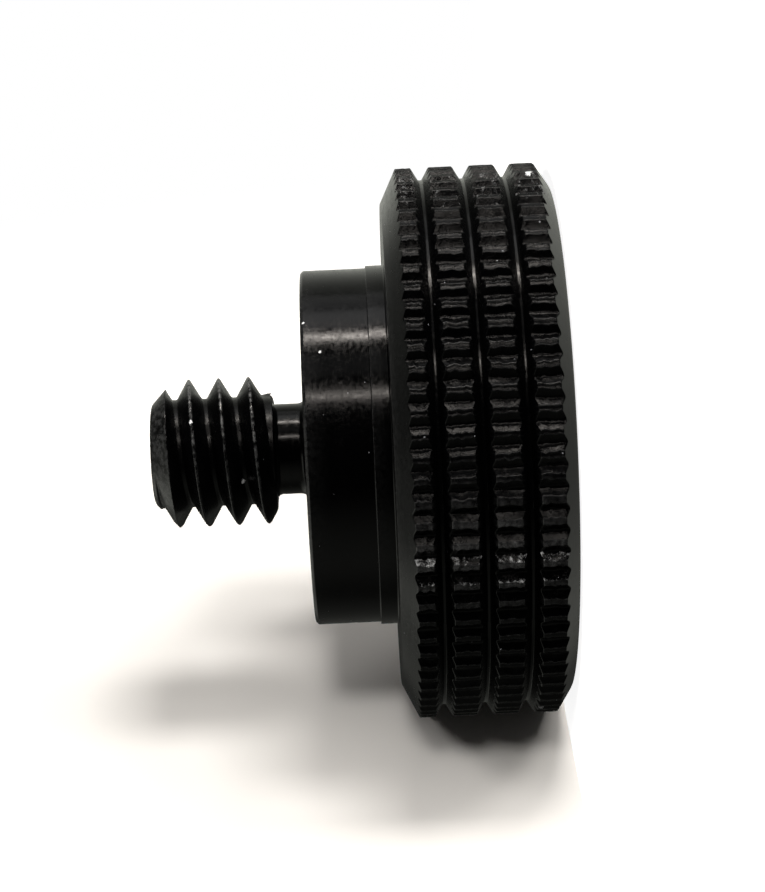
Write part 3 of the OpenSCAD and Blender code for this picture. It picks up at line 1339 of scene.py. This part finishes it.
# %% Keys that throw the shadows
far_off = 300
overhead_place = round_the_screw(68.5, far_off, height=-32)
right_place = round_the_screw(68.5, far_off, height=-170)
front_place = round_the_screw(29, far_off, height=32)
wall_place = round_the_screw(47, far_off, height=-25)
left_place = (194, -86, 221)
top_place = (60, -90, 240)
keys = (
    soft_lamp("overhead key", overhead_place, width=73, length=90, radiance=25.2),
    soft_lamp("right key", right_place, width=73, length=120, radiance=10.5),
    soft_lamp("front key", front_place, width=52, length=60, radiance=23),
    soft_lamp("wall of light", wall_place, width=150, length=100, radiance=3.0),
    soft_lamp("left key", left_place, width=120, length=120, radiance=5.5),
)
top_key = soft_lamp("top key", top_place, width=80, length=80, radiance=12)
for key in (*keys, top_key):
    key.visible_glossy = False
print(f"{len(strips)} strips and {len(keys) + 1} keys")

# %% [markdown]
# ## The paper
#
# The screw stands on its head on a pale floor, and beside it a sheet of paper leans
# against its rim. The camera is turned on its side, so in the main view that sheet looks
# like the ground, with the shadows of stud and collar on it.
# A white that is only lit turns grey wherever light is short, and more light would spoil
# the screw. So the paper is matt near the screw, where it keeps its shadow, and further
# off it fades to a white that glows for the lens alone. The side paper can be seen from
# its front only, or it would stand in the way of views from behind.

# %% Light that only the lens sees
def glow_for_lens(tree, strength):
    """Plain white light of this strength."""
    node = tree.nodes.new("ShaderNodeEmission")
    feed(tree, node.inputs["Color"], plain)
    feed(tree, node.inputs["Strength"], strength)
    return node.outputs[0]


# %% The paper's finish
rises_from = 22
warm_white = (1.0, 0.95, 0.885, 1.0)


def paper(name, own_light, far_light, clear_from, clear_to, one_sided):
    """Matt near the screw with a little light of its own, plain white far from it."""
    material = bpy.data.materials.new(name)
    material.use_nodes = True
    tree = material.node_tree
    tree.nodes.clear()
    path = tree.nodes.new("ShaderNodeLightPath")
    seen = add_math(tree, "MAXIMUM", path.outputs["Is Camera Ray"], path.outputs["Is Transmission Ray"])
    where = tree.nodes.new("ShaderNodeNewGeometry")
    far = add_vector_math(tree, "LENGTH", where.outputs["Position"])

    matt = tree.nodes.new("ShaderNodeBsdfDiffuse")
    feed(tree, matt.inputs["Color"], warm_white)
    rise = add_ramp(tree, far, rises_from * mm, clear_from * mm)
    own = add_math(tree, "ADD", product(tree, rise, far_light), own_light)
    both = tree.nodes.new("ShaderNodeAddShader")
    feed(tree, both.inputs[0], matt.outputs[0])
    feed(tree, both.inputs[1], glow_for_lens(tree, product(tree, seen, own)))

    clear = add_ramp(tree, far, clear_from * mm, clear_to * mm)
    surface = add_shader_mix(tree, product(tree, clear, seen), both.outputs[0], glow_for_lens(tree, 1.0))
    if one_sided:
        nothing = tree.nodes.new("ShaderNodeBsdfTransparent")
        surface = add_shader_mix(tree, where.outputs["Backfacing"], surface, nothing.outputs[0])
    end = tree.nodes.new("ShaderNodeOutputMaterial")
    feed(tree, end.inputs["Surface"], surface)
    return material


# %% [markdown]
# ## Two sheets
#
# Both sheets stand so close that they would hide the lamps behind them and show up in the
# gloss as grey bands. So they cast no shadow, aren't mirrored and pass no light on; they
# only catch shadows. The room already holds the pale reflection that real paper would
# give.

# %% Floor and side paper
def sheet_of_paper(name, corners, material):
    """A flat stage piece from four corners in millimetres."""
    flat = bpy.data.meshes.new(name)
    flat.from_pydata([tuple(v * mm for v in corner) for corner in corners], [], [(0, 1, 2, 3)])
    flat.materials.append(material)
    piece = bpy.data.objects.new(name, flat)
    bpy.context.scene.collection.objects.link(piece)
    piece.visible_glossy = False
    piece.visible_shadow = False
    piece.visible_diffuse = False
    return piece


floor_z = -0.02
floor_reach = 400
floor = sheet_of_paper(
    "floor",
    [(-floor_reach, -floor_reach, floor_z), (floor_reach, -floor_reach, floor_z),
     (floor_reach, floor_reach, floor_z), (-floor_reach, floor_reach, floor_z)],
    paper("floor paper", own_light=0.90, far_light=0.0, clear_from=30, clear_to=60, one_sided=False),
)

lean = math.radians(24)
near_edge = 50
far_edge = -120
top_edge = 120
clearance = 0.02


def on_side_paper(forward, height):
    """A place on the leaning sheet, this far forward of the line where the rim touches it."""
    touch = rim_r + clearance
    across = -touch * math.cos(lean) - forward * math.sin(lean)
    away = touch * math.sin(lean) - forward * math.cos(lean)
    return (across, away, height)


side_paper = sheet_of_paper(
    "side paper",
    [on_side_paper(near_edge, floor_z), on_side_paper(far_edge, floor_z),
     on_side_paper(far_edge, top_edge), on_side_paper(near_edge, top_edge)],
    paper("side paper", own_light=0.0, far_light=0.4, clear_from=45, clear_to=80, one_sided=True),
)
print("the side paper leans by", round(math.degrees(lean)), "degrees")

# %% [markdown]
# ## Which lamp lights which sheet
#
# The keys that throw the shadows on the side paper would streak the floor, and the lamp
# over the floor would wash those shadows out. In a studio, black cards keep each lamp off
# the wrong surface. Light linking does the same with a list: a lamp lights only the
# objects in its own collection, and the screw is in both.

# %% Link the lamps
def light_only(label, lamps, receivers):
    """These lamps light these objects and nothing else."""
    group = bpy.data.collections.new(label)
    for piece in receivers:
        group.objects.link(piece)
    for lamp in lamps:
        lamp.light_linking.receiver_collection = group


light_only("lit from the top", (top_key,), (floor, screw))
light_only("lit from the side", keys, (side_paper, screw))
print("receivers:", [group.name for group in bpy.data.collections if group.name.startswith("lit")])

# %% [markdown]
# ## The camera
#
# A long lens about a hand's width away keeps the rings nearly parallel. The camera is
# turned on its side, so that the stud points left and the knurl stands upright. It stays
# in focus everywhere, as small parts are usually shown.

# %% A long lens at the side
focal_length = 97.62
nearest_seen = 0.005
furthest_seen = 10
lens_place = (-1.8261, -103.1734, 8.15)
lens_turn = (-81.0133, 87.3172, -171.9998)
lens = bpy.data.cameras.new("long lens")
lens.lens = focal_length
lens.sensor_width = 36
lens.clip_start = nearest_seen
lens.clip_end = furthest_seen
camera = bpy.data.objects.new("camera", lens)
bpy.context.scene.collection.objects.link(camera)
camera.location = Vector(lens_place) * mm
camera.rotation_euler = [math.radians(degrees) for degrees in lens_turn]
bpy.context.scene.camera = camera
print("lens", round(lens.lens, 2), "mm, at", [round(v / mm, 1) for v in camera.location], "mm")

# %% [markdown]
# ## The end
#
# The Standard view shows each colour as it is written.

bpy.context.scene.view_settings.view_transform = "Standard"
bpy.context.view_layer.update()
